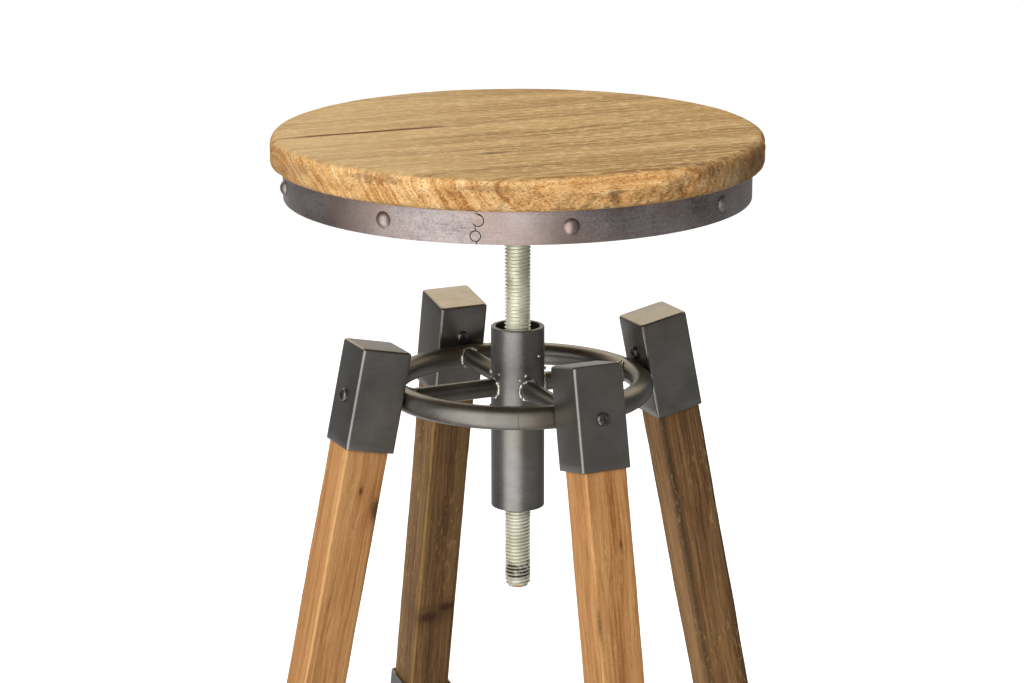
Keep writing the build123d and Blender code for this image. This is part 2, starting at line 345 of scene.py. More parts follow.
# Along and across the grain, length, width and strength of each dark spot
seat_spots = (
    (*in_grain(-55 * MM, -5 * MM), 22 * MM, 8 * MM, 0.9),
    (*in_grain(-40 * MM, 5 * MM), 40 * MM, 10 * MM, 0.45),
    (*in_grain(12 * MM, -80 * MM), 32 * MM, 9 * MM, 0.9),
    (*in_grain(6 * MM, 7 * MM), 6 * MM, 3 * MM, 0.6),
    (*in_grain(143 * MM, 25 * MM), 14 * MM, 5 * MM, 0.7),
    (*in_grain(90 * MM, -30 * MM), 22 * MM, 5 * MM, 0.45),
)

# The seat's tones on top and on its rim, from dark grain to pale
seat_top_tones = (
    (0.40, rgb(110, 79, 42)),
    (0.47, rgb(155, 121, 71)),
    (0.53, rgb(181, 147, 94)),
    (0.60, rgb(208, 177, 127)),
)
seat_edge_tones = (
    (0.38, rgb(176, 120, 62)),
    (0.46, rgb(216, 162, 98)),
    (0.54, rgb(238, 190, 126)),
    (0.62, rgb(250, 216, 160)),
)
pith_across = 30 * MM
pith_depth = 75 * MM

# Azimuth, drop below the top, width, height and strength of the rim's dark places, in degrees and millimetres.
# Those at 0 and 20 degrees are painted shade on the rim's right end in the camera's view; the rest are dark
# marks in the wood.
rim_dark_marks_and_shade = (
    (-104, 5, 50, 8, 0.5),
    (-127, 8, 16, 10, 0.35),
    (-76, 6, 54, 6, 0.4),
    (-49, 13, 9, 14, 0.5),
    (-22, 5, 38, 9, 0.5),
    (0, 9, 60, 24, 0.5),
    (20, 11, 50, 24, 0.45),
    (95, 7, 40, 8, 0.45),
    (160, 9, 34, 9, 0.4),
)

# Azimuth, strength and tone of painted shade on the rim's far left and far right ends in the camera's view,
# where the rim curves away
shaded_rim_ends = (
    (-160, 0.5, rgb(166, 118, 68)),
    (14, 0.6, rgb(118, 82, 46)),
)

# Each leg's darkest, middle and palest tone, the tone of its arrises with their strength and width,
# its seed and flecks, and its knots as (across, sideways, distance down the leg, length, width) in millimetres
leg_looks = {
    "front_left": {
        "tones": (rgb(158, 104, 54), rgb(194, 138, 84), rgb(214, 162, 104)),
        "arris": rgb(226, 178, 118), "arris_strength": 0.75, "seed": 2.0, "arris_width": 1.0,
        "fleck": rgb(222, 172, 112), "fleck_strength": 0.5,
        "knots": ((0, 16, 98, 9, 4), (-13, 15, 110, 26, 11), (-15, 16, 150, 40, 3)),
    },
    "front_right": {
        "tones": (rgb(156, 100, 50), rgb(198, 140, 84), rgb(218, 166, 106)),
        "arris": rgb(226, 176, 114), "arris_strength": 0.6, "seed": 9.0, "arris_width": 1.0,
        "fleck": rgb(232, 184, 122), "fleck_strength": 0.5,
        "knots": ((16, -15, 170, 40, 5), (16, 6, 120, 10, 3)),
    },
    "back_left": {
        "tones": (rgb(92, 64, 36), rgb(134, 99, 62), rgb(168, 130, 82)),
        "arris": rgb(184, 146, 80), "arris_strength": 0.75, "seed": 5.0, "arris_width": 1.0,
        "fleck": rgb(198, 160, 94), "fleck_strength": 0.6,
        "knots": ((-16, 6, 256, 13, 26), (-16, -8, 249, 11, 20)),
    },
    "back_right": {
        "tones": (rgb(106, 74, 42), rgb(154, 111, 68), rgb(190, 146, 92)),
        "arris": rgb(70, 58, 38), "arris_strength": 0.85, "seed": 14.0, "arris_width": 3.2,
        "fleck": rgb(214, 174, 104), "fleck_strength": 0.65,
        "knots": (),
    },
}


def leg_wood(corner):
    """Oiled brown wood, with its grain along the leg and lighter or darker wear on its arrises."""
    look = leg_looks[corner]
    n = Shades("leg_wood_" + corner)
    top, across, sideways, along = leg_axes(corner)
    x, y, z = place = n.parts_of(top + across * leg_outset, across, sideways, along)
    seed = look["seed"]
    drift = n.grain(place, (10, 10, 7), seed, detail=2)
    bent = n.times_plus(drift, 0.014, x), n.times_plus(drift, 0.011, y), z
    broad = n.grain(bent, (90, 90, 5), seed, detail=2)
    rings = n.grain(bent, (420, 420, 7), seed * 2, detail=4, roughness=0.65)
    fibres = n.grain(bent, (1100, 1100, 40), seed * 3, roughness=0.7)
    tone = n.times_plus(fibres, 0.28, n.times_plus(broad, 0.30, n.times(rings, 0.42)))
    dark, middle, pale = look["tones"]
    colour = n.ramp(tone, (0.40, dark), (0.50, middle), (0.61, pale))

    # Each arris has a worn line, and a fainter one beside it
    half = leg_width / 2
    nearest = n.calc("MINIMUM", n.calc("ABSOLUTE", x), n.calc("ABSOLUTE", y))
    nearest = n.times_plus(n.grain(place, (240, 240, 60), seed, roughness=0.7), 2.2 * MM, nearest)
    worn = n.fade(nearest, half - look["arris_width"] * MM, half + 0.1 * MM)
    beside = n.calc("ABSOLUTE", n.calc("SUBTRACT", nearest, half - 3.2 * MM))
    arris = n.calc("MAXIMUM", worn, n.fade(beside, 0.9 * MM, 0.2 * MM, 0.45))
    colour = n.mix(n.times(arris, look["arris_strength"]), colour, look["arris"])

    pores = n.grain(place, (1300, 1300, 170), seed + 6, roughness=0.7)
    colour = n.mix(n.fade(pores, 0.55, 0.67, 0.45), colour, dark)
    fuzz = n.grain(place, (700, 700, 700), seed + 1, detail=4, roughness=0.8)
    colour = n.mix(n.fade(fuzz, 0.52, 0.66, 0.4), colour, pale)
    flecks = n.fade(n.grain(place, (460, 460, 110), seed + 3, roughness=0.7), 0.56, 0.66)
    patches = n.fade(n.grain(place, (40, 40, 20), seed + 4, detail=2), 0.45, 0.60)
    colour = n.mix(n.times(n.times(flecks, patches), look["fleck_strength"]), colour, look["fleck"])
    for knot_x, knot_y, drop, length, width in look["knots"]:
        middle = knot_x * MM, knot_y * MM, -drop * MM
        far = n.oval(place, middle, (width * MM, width * MM, length * MM))
        colour = n.mix(n.fade(far, 2.2, 0.9, 0.35), colour, dark)
        far = n.times_plus(fuzz, 0.9, n.calc("SUBTRACT", far, 0.45))
        colour = n.mix(n.fade(far, 1.0, 0.2, 0.8), colour, rgb(62, 36, 22))
    return n.finish(
        Base_Color=colour,
        Roughness=n.times_plus(fibres, 0.2, 0.42),
        Specular_IOR_Level=0.14,
        Normal=n.bump(n.times_plus(fibres, 0.6, n.times(rings, 0.4)), 0.25 * MM),
    )


# ---- Metal and plastic ----

def gunmetal(name, dark, pale, tint, roughness, grit, seed):
    """Blackened steel under a satin lacquer: mottled, with brown tints. Grit is how coarse it is."""
    n = Shades(name)
    place = n.vector("ADD", n.place, (seed, seed, seed))
    cloudy = n.noise(place, 28, detail=4, roughness=0.6)
    mottle = n.noise(place, 620, roughness=0.65)
    brown = n.noise(place, 17, detail=2)
    scratches = n.noise(n.vector("MULTIPLY", place, (60, 60, 1400)), roughness=0.6)
    tone = n.times_plus(scratches, 0.2, n.times_plus(cloudy, 0.8 - grit, n.times(mottle, grit)))
    colour = n.ramp(tone, (0.36, dark), (0.64, pale))
    rough = n.times_plus(cloudy, 0.14, roughness - 0.07 - grit / 4)
    return n.finish(
        Base_Color=n.mix(n.fade(brown, 0.48, 0.68, 0.6), colour, tint),
        Metallic=0.9,
        Roughness=n.times_plus(mottle, grit / 2, rough),
        Specular_IOR_Level=0.5,
        Coat_Weight=0.15,
        Coat_Roughness=0.28,
        Normal=n.bump(mottle, grit * 0.1 * MM),
    )


def zinc_thread():
    """Pale greenish-yellow zinc, painted shade in the thread's grooves that is stronger low on the rod, patchy
    grease thickest near its foot, and a bare, rusted tip.
    """
    n = Shades("zinc_thread")
    foot = rod_low.z
    cloudy = n.noise(n.place, 90)
    colour = n.ramp(cloudy, (0.35, rgb(226, 224, 200)), (0.65, rgb(250, 249, 232)))
    height = n.add("ShaderNodeSeparateXYZ", {0: n.place}).outputs["Z"]
    # Painted shade: the thread's grooves are painted dark, more strongly below 0.48 m; grease is smeared in
    # patches, most near the foot
    groove = n.fade(n.off_axis(), rod_radius - 0.25 * MM, rod_radius - 1.15 * MM)
    patches = n.noise(n.place, 130, detail=4, roughness=0.7)
    low = n.times(n.fade(height, foot + 24 * MM, foot + 13 * MM), n.fade(height, foot + 2 * MM, foot + 9 * MM))
    smear = n.fade(n.times_plus(low, 0.30, patches), 0.60, 0.80)
    smear = n.times(smear, n.times_plus(groove, 0.6, 0.4))
    groove_shade_strength = n.times_plus(n.fade(height, 0.48, 0.58), -0.3, 0.46)
    grease_and_groove_shade = n.calc("MAXIMUM", n.times(groove, groove_shade_strength), smear)
    colour = n.mix(grease_and_groove_shade, colour, rgb(52, 42, 26))
    tip = n.fade(height, foot + 3.2 * MM, foot + 0.6 * MM)
    rusty = n.times(tip, n.fade(n.noise(n.place, 210, detail=2), 0.5, 0.58))
    return n.finish(
        Base_Color=n.mix(rusty, colour, rgb(196, 108, 40)),
        Metallic=n.calc("SUBTRACT", 0.35, n.times(grease_and_groove_shade, 0.2)),
        Roughness=n.times_plus(grease_and_groove_shade, 0.3, n.times_plus(cloudy, 0.15, 0.26)),
        Normal=n.bump(patches, 0.05 * MM),
    )


def speckled(name, base, other, scale, metallic, roughness, bump_depth):
    """A small part's material: two tones in a fine mottle, with a matching grain."""
    n = Shades(name)
    value = n.noise(n.place, scale, roughness=0.6)
    return n.finish(
        Base_Color=n.ramp(value, (0.35, base), (0.65, other)),
        Metallic=metallic,
        Roughness=n.times_plus(value, 0.2, roughness - 0.1),
        Normal=n.bump(value, bump_depth),
    )


# ---- Mesh helpers ----

def add_object(name, data):
    made = bpy.data.objects.new(name, data)
    bpy.context.scene.collection.objects.link(made)
    return made


def new_piece(name, points, faces, material, smooth_angle=40):
    mesh = bpy.data.meshes.new(name)
    mesh.from_pydata([tuple(p) for p in points], [], faces)
    mesh.update()
    mesh.materials.append(material)
    piece = add_object(name, mesh)
    smooth(piece, smooth_angle)
    return piece


def mesh_object(name, shape, material):
    """An object made from a bmesh, which it frees."""
    mesh = bpy.data.meshes.new(name)
    shape.to_mesh(mesh)
    shape.free()
    mesh.materials.append(material)
    return add_object(name, mesh)


def smooth(piece, angle):
    piece.data.shade_smooth()
    piece.data.set_sharp_from_angle(angle=radians(angle))


def loop_faces(rows, columns):
    """Faces of a tube of that many rows, each a closed loop of that many points."""
    faces = []
    for row in range(rows - 1):
        for column in range(columns):
            beside = (column + 1) % columns
            low, high = row * columns, (row + 1) * columns
            faces.append((low + column, low + beside, high + beside, high + column))
    return faces


def fan_faces(middle, start, columns, outward):
    """Triangles that close a loop on a middle point."""
    faces = []
    for column in range(columns):
        beside = (column + 1) % columns
        pair = (start + column, start + beside) if outward else (start + beside, start + column)
        faces.append((middle, *pair))
    return faces


def carve(piece, cutter):
    """Cuts the cutter out of the piece and removes the cutter."""
    modifier = piece.modifiers.new("carve", "BOOLEAN")
    modifier.operation = "DIFFERENCE"
    modifier.solver = "EXACT"
    modifier.material_mode = "TRANSFER"
    modifier.object = cutter
    graph = bpy.context.evaluated_depsgraph_get()
    carved = bpy.data.meshes.new_from_object(piece.evaluated_get(graph))
    piece.modifiers.clear()
    piece.data = carved
    bpy.data.objects.remove(cutter)


def recalculate(piece):
    """Turns every face outward."""
    cut_level(piece)


def cut_level(piece, *planes):
    """Cuts off and closes what lies past each level plane, then turns every face outward.

    A plane is its height and the side that goes: 1 for up, -1 for down."""
    mesh = bmesh.new()
    mesh.from_mesh(piece.data)
    for height, facing in planes:
        everything = mesh.verts[:] + mesh.edges[:] + mesh.faces[:]
        cut = bmesh.ops.bisect_plane(
            mesh, geom=everything, dist=1e-7, plane_co=(0, 0, height), plane_no=(0, 0, facing), clear_outer=True
        )
        edges = [item for item in cut["geom_cut"] if isinstance(item, bmesh.types.BMEdge)]
        bmesh.ops.edgeloop_fill(mesh, edges=edges)
    bmesh.ops.recalc_face_normals(mesh, faces=mesh.faces)
    mesh.to_mesh(piece.data)
    mesh.free()


def settle(piece, body, slot_name, *nodes):
    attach(piece, body)
    if nodes:
        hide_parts(*nodes)
    return piece


def hump(value, middle, width):
    """1 at the middle, falling smoothly to 0 over a few widths."""
    return exp(-((value - middle) / width) ** 2)


def bumpy(place, scale, octaves):
    return noise.fractal(place * scale, 0.8, 2.1, octaves)


# ---- Seat ----

seat_columns = 900
seat_core_radius = 156.4 * MM


def rim_wear(azimuth):
    """Wear at an azimuth: radius lost, width and depth of the upper round, and how flat it is."""
    around = direction(azimuth)
    lost = 0.12 * MM * (1 + noise.noise(around * 2.3)) + 0.12 * MM * (1 + noise.noise(around * 9.0))
    planed = hump(azimuth, -50, 17) + 0.3 * hump(azimuth, -104, 12)
    width = 6.5 * MM + 9.0 * MM * planed + 1.2 * MM * noise.noise(around * 6.0 + Vector((3, 0, 0)))
    depth = 7.0 * MM + 3.0 * MM * planed + 1.2 * MM * noise.noise(around * 7.0 + Vector((0, 5, 0)))
    return lost, width, depth, min(1.0, planed)


def rim_scars(azimuth, height):
    """Depth of saw marks, chips and pits in the rim at a place on it."""
    around = direction(azimuth)
    below = seat_top - height
    saw = hump(azimuth, -104, 8) + 0.8 * hump(azimuth, -19, 7) + 0.5 * hump(azimuth, 150, 20)
    teeth = 0.5 + 0.5 * sin(radians(azimuth) * 205 + 3 * noise.noise(around * 8))
    scars = saw * teeth * 1.3 * MM * hump(below, 6 * MM, 5 * MM)
    place = Vector((around.x * seat_radius, around.y * seat_radius, height))
    chips = max(0.0, bumpy(place, 45, 4) - 0.05) * 3.4 * MM
    pits = max(0.0, bumpy(place, 150, 3)) * 0.9 * MM
    return scars + chips + pits


def seat_contour(azimuth):
    """The seat's outline at an azimuth, from the top's middle round to the underside's."""
    lost, width, depth, flat = rim_wear(azimuth)
    radius = seat_radius - lost
    lower_round = 4 * MM
    contour = [((radius - width) * (step / 16) ** 0.8, seat_top, 0.0) for step in range(1, 17)]
    for step in range(1, 11):
        share = step / 10
        turn = pi / 2 * (1 - share)
        out = cos(turn) * (1 - flat) + share * flat
        rise = sin(turn) * (1 - flat) + (1 - share) * flat
        rough = min(1.0, 2.2 * (1 - rise)) * (1 - 0.6 * flat)
        contour.append((radius - width + width * out, seat_top - depth + depth * rise, rough))
    side_top, side_bottom = seat_top - depth, lip_height + lower_round
    for step in range(1, 12):
        contour.append((radius, side_top + (side_bottom - side_top) * step / 11, 1.0))
    for step in range(1, 7):
        turn = pi / 2 * step / 6
        across, drop = lower_round * (1 - cos(turn)), lower_round * sin(turn)
        contour.append((radius - across, side_bottom - drop, cos(turn)))
    contour.append((seat_core_radius + 3 * MM, lip_height, 0.0))
    contour.append((seat_core_radius, lip_height, 0.0))
    return contour + [(seat_core_radius * share, band_bottom, 0.0) for share in (1.0, 0.9, 0.6, 0.3)]


def make_seat_top(material):
    points = []
    rows = 0
    for column in range(seat_columns):
        azimuth = 360 * column / seat_columns - 180
        contour = seat_contour(azimuth)
        rows = len(contour)
        for radius, height, rough in contour:
            if rough:
                radius -= rim_scars(azimuth, height) * rough
            place = direction(azimuth) * radius
            if height == seat_top:
                height -= 0.22 * MM * (1 + noise.noise(place * 22))
            points.append(Vector((place.x, place.y, height)))
    ordered = [points[column * rows + row] for row in range(rows) for column in range(seat_columns)]
    faces = [tuple(reversed(f)) for f in loop_faces(rows, seat_columns)]
    ordered.append(Vector((0, 0, seat_top - 0.2 * MM)))
    ordered.append(Vector((0, 0, band_bottom)))
    faces += fan_faces(len(ordered) - 2, 0, seat_columns, True)
    faces += fan_faces(len(ordered) - 1, (rows - 1) * seat_columns, seat_columns, False)
    seat = new_piece("worn_seat_top", ordered, faces, material, 60)
    carve(seat, split_cutter())
    smooth(seat, 60)
    return settle(seat, "seat", "seat_wood", "seat_top")


def split_cutter():
    """A thin blade along the grain, for the split that runs in from the rim."""
    along, across = direction(seat_grain_azimuth), direction(seat_grain_azimuth + 90)
    outer_reach = 26 * MM
    steps = 28
    points, faces = [], []
    for step in range(steps + 1):
        share = step / steps
        distance = -outer_reach + (split_length + outer_reach) * share
        middle = split_start() + along * distance + across * (0.5 * MM * noise.noise(Vector((share * 7, 0, 0))))
        half = (0.3 + 1.1 * min(1.0, 1.6 * share)) * MM * (1 - 0.7 * share ** 8)
        deep = 3.5 * MM
        for side, drop in ((-half, -2 * MM), (half, -2 * MM), (0.2 * half, deep), (-0.2 * half, deep)):
            points.append(middle + across * side - Vector((0, 0, drop)))
    faces = loop_faces(steps + 1, 4)
    faces.append((3, 2, 1, 0))
    last = 4 * steps
    faces.append((last, last + 1, last + 2, last + 3))
    blade = new_piece("split_blade", points, faces, seat_materials["split"])
    recalculate(blade)
    return blade


# ---- Band ----

def make_band(material):
    """A rolled strap with softened edges, and the puzzle-shaped seam where its ends meet."""
    columns = 480
    edge = 0.5 * MM
    outer, inner = band_radius, band_radius - band_thickness
    section = [
        (inner, band_bottom + edge), (inner + edge, band_bottom), (outer - edge, band_bottom),
        (outer - 0.15 * edge, band_bottom + 0.15 * edge), (outer, band_bottom + edge),
    ]
    inside_levels = 6
    for step in range(1, inside_levels):
        section.append((outer, band_bottom + (lip_height - band_bottom) * step / inside_levels))
    section += [
        (outer, lip_height - edge), (outer - 0.15 * edge, lip_height - 0.15 * edge), (outer - edge, lip_height),
        (inner + edge, lip_height), (inner, lip_height - edge),
    ]
    points = []
    for column in range(columns):
        azimuth = 360 * column / columns
        around = direction(azimuth)
        for radius, height in section:
            if radius > inner + edge:
                radius -= 0.1 * MM * (1 + noise.noise(around * 11 + Vector((0, 0, height * 60))))
            points.append(Vector((around.x * radius, around.y * radius, height)))
    rows = len(section)
    faces = []
    for column in range(columns):
        beside = (column + 1) % columns
        for row in range(rows):
            above = (row + 1) % rows
            here, there = column * rows, beside * rows
            faces.append((here + row, there + row, there + above, here + above))
    band = new_piece("seamed_seat_band", points, faces, material, 35)
    recalculate(band)
    for cutter in seam_cutters():
        carve(band, cutter)
    smooth(band, 35)
    return settle(band, "seat", "blackened_steel", "seat_band")


def arc(centre_x, centre_y, radius, start, end, steps=20):
    turns = [radians(start + (end - start) * step / steps) for step in range(steps + 1)]
    return [(centre_x + radius * cos(turn), centre_y + radius * sin(turn)) for turn in turns]


def seam_paths():
    """The seam's lines on the strap, in millimetres right of its middle and down from its top edge."""
    upper_lobe = arc(0.4, -6.9, 3.7, -150, 95, 30)
    lower_lobe = arc(-1.3, -17.0, 3.4, 80, 440, 40)
    lead_in = [(1.2, 0.6), (0.2, -0.8), (-1.7, -2.0), (1.5, -2.9), (3.3, -4.2)]
    neck = [(-1.0, -10.3), (-1.7, -11.4), (-1.2, -12.6), (-0.9, -13.8)]
    lead_out = [(-0.8, -20.2), (-0.3, -21.2), (-0.9, -23.2)]
    return [upper_lobe, lower_lobe, lead_in, neck, lead_out]


def seam_cutters():
    """One thin blade for each line of the seam."""
    half, depth = 0.32, 1.0
    for number, path in enumerate(seam_paths()):
        points = []
        for index, (x, y) in enumerate(path):
            before, after = path[max(index - 1, 0)], path[min(index + 1, len(path) - 1)]
            run = hypot(after[0] - before[0], after[1] - before[1])
            side_x, side_y = -(after[1] - before[1]) / run * half, (after[0] - before[0]) / run * half
            for sign, out in ((-1, 1.0), (1, 1.0), (1, -depth), (-1, -depth)):
                points.append(on_band(x + sign * side_x, y + sign * side_y, out))
        faces = loop_faces(len(path), 4)
        last = 4 * (len(path) - 1)
        if hypot(path[0][0] - path[-1][0], path[0][1] - path[-1][1]) < 1e-6:
            points = points[:-4]
            faces = [tuple(corner % last for corner in face) for face in faces]
        else:
            faces += [(3, 2, 1, 0), (last, last + 1, last + 2, last + 3)]
        blade = new_piece(f"seam_blade_{number}", points, faces, seat_materials["seam"])
        recalculate(blade)
        yield blade


def on_band(x, y, out):
    """A point by the strap's face, in millimetres right of the seam's middle, up from the lip and outward."""
    radius = band_radius + out * MM
    around = direction(seam_azimuth + (x + seam_shift) * MM / band_radius * 180 / pi)
    return Vector((around.x * radius, around.y * radius, lip_height + y * MM))


# ---- Threaded rod ----

def make_rod(material):
    """A right-hand helix with a 60 degree profile, flat at the ends and chamfered at the foot."""
    columns = 56
    inset = 0.02 * MM
    crest = rod_radius - inset
    root = crest - 0.61 * thread_pitch
    profile = ((0.0, crest), (0.125, crest), (0.4375, root), (0.6875, root))
    length = rod_high.z - rod_low.z
    turns = ceil(length / thread_pitch) + 3
    chamfer_height = 2.4 * MM
    points = []
    for turn in range(turns):
        for share, radius in profile:
            for column in range(columns):
                height = rod_low.z + (turn - 2 + share + column / columns) * thread_pitch
                limit = crest - max(0.0, chamfer_height - (height - rod_low.z)) * 0.9
                radius_here = min(radius, max(limit, 0.55 * crest))
                around = 2 * pi * column / columns
                points.append(Vector((cos(around) * radius_here, sin(around) * radius_here, height)))
    rows = turns * len(profile)
    faces = []
    for row in range(rows):
        for column in range(columns):
            beside = (column + 1) % columns
            step = len(profile) if column == columns - 1 else 0
            low, high, low_beside, high_beside = row, row + 1, row + step, row + 1 + step
            if max(high, high_beside) >= rows:
                continue
            faces.append((
                low * columns + column, low_beside * columns + beside,
                high_beside * columns + beside, high * columns + column,
            ))
    rod = new_piece("helical_rod", points, faces, material, 30)
    cut_level(rod, (rod_low.z, -1), (rod_high.z, 1))
    smooth(rod, 30)
    return settle(rod, "screw", "zinc_thread", "threaded_rod")


# ---- Legs ----

def square_section(half, rounds, arc_steps, side_steps):
    """A square section whose corners have these radii, as (across, sideways) pairs."""
    signs = ((1, 1), (-1, 1), (-1, -1), (1, -1))
    points = []
    for number, (corner_round, (sign_x, sign_y)) in enumerate(zip(rounds, signs)):
        centre = half - corner_round
        for step in range(arc_steps + 1):
            turn = pi / 2 * (number + step / arc_steps)
            x, y = corner_round * cos(turn), corner_round * sin(turn)
            points.append((sign_x * centre + x, sign_y * centre + y))
        start_x, start_y = points[-1]
        next_x, next_y = signs[(number + 1) % 4]
        end_x = next_x * centre if sign_x != next_x else start_x
        end_y = next_y * centre if sign_y != next_y else start_y
        for step in range(1, side_steps):
            share = step / side_steps
            points.append((start_x + (end_x - start_x) * share, start_y + (end_y - start_y) * share))
    return points


def worn_rounds(down, seed):
    """The radii of a leg's four arrises, at a distance down it."""
    wear = [Vector((corner * 7.3 + seed, down * 16, 0)) for corner in range(4)]
    return [2.4 * MM + 1.1 * MM * noise.noise(place) + 0.5 * MM * noise.noise(place * 4) for place in wear]


def make_leg(corner, material):
    """A planed leg, its faces a little uneven and its arrises worn, cut level above its glide."""
    top, across, sideways, along = leg_axes(corner)
    seed = leg_looks[corner]["seed"]
    length = (cap_top_height + leg_width) / cos(splay)
    rows = 190
    points = []
    for row in range(rows + 1):
        down = leg_top_drop + (length - leg_top_drop) * row / rows
        section = square_section(leg_width / 2, worn_rounds(down, seed), 6, 7)
        for x, y in section:
            place = Vector((x * 40, y * 40, down * 9)) + Vector((seed, seed, 0))
            sunk = 0.16 * MM * (1 + noise.noise(place)) + 0.10 * MM * max(0.0, noise.noise(place * 6))
            share = 1 - sunk / (leg_width / 2)
            point = top + across * (leg_outset + x * share) + sideways * (y * share) - along * down
            points.append(point)
    columns = len(section)
    faces = loop_faces(rows + 1, columns)
    faces.append(tuple(range(columns)))
    faces.append(tuple(reversed(range(rows * columns, (rows + 1) * columns))))
    leg = new_piece("planed_leg_" + corner, points, faces, material, 50)
    cut_level(leg, (glide_thickness, -1))
    smooth(leg, 50)
    return settle(leg, "base", "leg_wood", "leg_" + corner)


# ---- Caps ----

cap_wall = 1.2 * MM
cap_length = 70 * MM


def make_cap(corner, material, top_steel_and_sheen):
    """A folded steel cap over a leg's top, its corners ground round."""
    top, across, sideways, along = leg_axes(corner)
    half, edge_round, rim_round = socket_width / 2, 1.8 * MM, 0.3 * MM
    contour = [(cap_wall, cap_wall, 0.8 * MM), (cap_wall, cap_length, 0.8 * MM)]
    contour += [(rim_round, cap_length, 1.7 * MM), (0.0, cap_length - rim_round, 2.0 * MM)]
    for step in range(1, 12):
        drop = cap_length - rim_round + (edge_round + rim_round - cap_length) * step / 12
        contour.append((0.0, drop, 2.0 * MM))
    for step in range(9):
        turn = pi / 2 * step / 8
        contour.append((edge_round * (1 - cos(turn)), edge_round * (1 - sin(turn)), 2.2 * MM))
    points = []
    for inset, down, corner_round in contour:
        for x, y in square_section(half - inset, [corner_round] * 4, 8, 1):
            points.append(top + across * x + sideways * y - along * down)
    columns = len(points) // len(contour)
    faces = loop_faces(len(contour), columns)
    points += [top - along * cap_wall, top]
    faces += fan_faces(len(points) - 2, 0, columns, False)
    faces += fan_faces(len(points) - 1, (len(contour) - 1) * columns, columns, True)
    cap = new_piece("ground_cap_" + corner, points, faces, material, 50)
    cap.data.materials.append(top_steel_and_sheen)
    # The outer top rows take the top material: a coarser ground finish, painted paler and browner as a painted
    # reflection of the overhead light
    top_rows = 6
    outer_top = (len(contour) - top_rows) * columns
    for face in cap.data.polygons:
        if min(face.vertices) >= outer_top:
            face.material_index = 1
    recalculate(cap)
    return settle(cap, "base", "blackened_steel", "leg_cap_" + corner)


# ---- Welds ----

def make_bead(name, path, thickness, material, seed, closed=True):
    """A weld bead along a path: a tube whose thickness ripples, as the pool set in overlapping drops."""
    sides = 8
    count = len(path)
    points = []
    for index, place in enumerate(path):
        before = path[(index - 1) % count] if closed else path[max(index - 1, 0)]
        after = path[(index + 1) % count] if closed else path[min(index + 1, count - 1)]
        ahead = (after - before).normalized()
        side = ahead.orthogonal().normalized()
        up = ahead.cross(side)
        swell = noise.noise(Vector((index * 0.42, seed, 0)))
        size = thickness * (0.85 + 0.55 * swell + 0.12 * sin(index * 1.9))
        if not closed:
            size *= sqrt(max(0.05, sin(pi * (index + 0.5) / count)))
        for number in range(sides):
            turn = 2 * pi * number / sides
            points.append(place + side * size * cos(turn) + up * size * sin(turn))
    if closed:
        faces = [tuple(c % (count * sides) for c in face) for face in loop_faces(count + 1, sides)]
    else:
        faces = loop_faces(count, sides)
        faces += [tuple(reversed(range(sides))), tuple(range((count - 1) * sides, count * sides))]
    bead = new_piece(name, points, faces, material, 80)
    recalculate(bead)
    return settle(bead, "base", "blackened_steel")


def circle(reach, steps=36):
    """Points round a circle, as pairs."""
    turns = [2 * pi * step / steps for step in range(steps)]
    return [(reach * cos(turn), reach * sin(turn)) for turn in turns]


def spoke_hub_path(azimuth):
    """Where a spoke meets the hub."""
    side = direction(azimuth + 90)
    return [
        side * width + place_at(azimuth, sqrt(hub_radius ** 2 - width ** 2) + 0.2 * MM, ring_height + rise)
        for width, rise in circle(spoke_radius + 0.3 * MM)
    ]


def spoke_ring_path(azimuth):
    """Where a spoke meets the ring's bar."""
    side = direction(azimuth + 90)
    path = []
    for width, rise in circle(spoke_radius + 0.2 * MM):
        bar = sqrt(max(0.0, ring_bar_radius ** 2 - rise ** 2))
        radius = sqrt((ring_radius - bar) ** 2 - width ** 2) - 0.2 * MM
        path.append(side * width + place_at(azimuth, radius, ring_height + rise))
    return path


def ring_face_path(corner, radius, height, bar_radius, rising):
    """Along the top or bottom of the place where a ring touches a cap or sleeve."""
    azimuth = leg_azimuths[corner]
    side = direction(azimuth + 90)
    path = []
    for step in range(19):
        width = (step / 9 - 1) * 8.5 * MM
        rise = rising * (3.6 * MM + 0.8 * MM * noise.noise(Vector((step * 0.7, rising, azimuth))))
        bar = sqrt(bar_radius ** 2 - rise ** 2)
        reach = sqrt((radius + bar) ** 2 - width ** 2) + 0.2 * MM - rise * tan(splay) * 0.5
        path.append(side * width + place_at(azimuth, reach, height + rise))
    return path


def make_spatter(material):
    """Beads of weld metal that splashed round the joints: lumps on the hub and the ring."""
    spots = []
    for number, azimuth in enumerate(leg_azimuths.values()):
        for index in range(7):
            roll = Vector((number * 3.1, index * 1.7, 0.5))
            turn = azimuth + 34 * noise.noise(roll * 1.3) + (14 if index % 2 else -14)
            rise = 24 * MM * noise.noise(roll + Vector((0, 0, 9)))
            rise += 7.5 * MM if rise > 0 else -7.5 * MM
            size = (0.8 + 1.3 * abs(noise.noise(roll * 2.2))) * MM
            spots.append((place_at(turn, hub_radius, ring_height + rise), size))
        for index in range(4):
            roll = Vector((number * 2.3, index * 2.9, 4.5))
            turn = azimuth + 7 * noise.noise(roll)
            inside = ring_radius - ring_bar_radius * 0.62
            spots.append((place_at(turn, inside, ring_height + ring_bar_radius * 0.78), 0.8 * MM))
    mesh = bmesh.new()
    for number, (place, size) in enumerate(spots):
        made = bmesh.ops.create_icosphere(mesh, subdivisions=2, radius=size)
        for vertex in made["verts"]:
            lump = 1 + 0.35 * noise.noise(vertex.co * 1400 + Vector((number, 0, 0)))
            vertex.co = vertex.co * lump + place
    spatter = mesh_object("weld_spatter", mesh, material)
    smooth(spatter, 80)
    settle(spatter, "base", "blackened_steel")


def butt_path(azimuth):
    """Round the ring's bar, where its two ends meet."""
    pairs = circle(ring_bar_radius - 0.05 * MM, 30)
    return [place_at(azimuth, ring_radius + out, ring_height + rise) for out, rise in pairs]


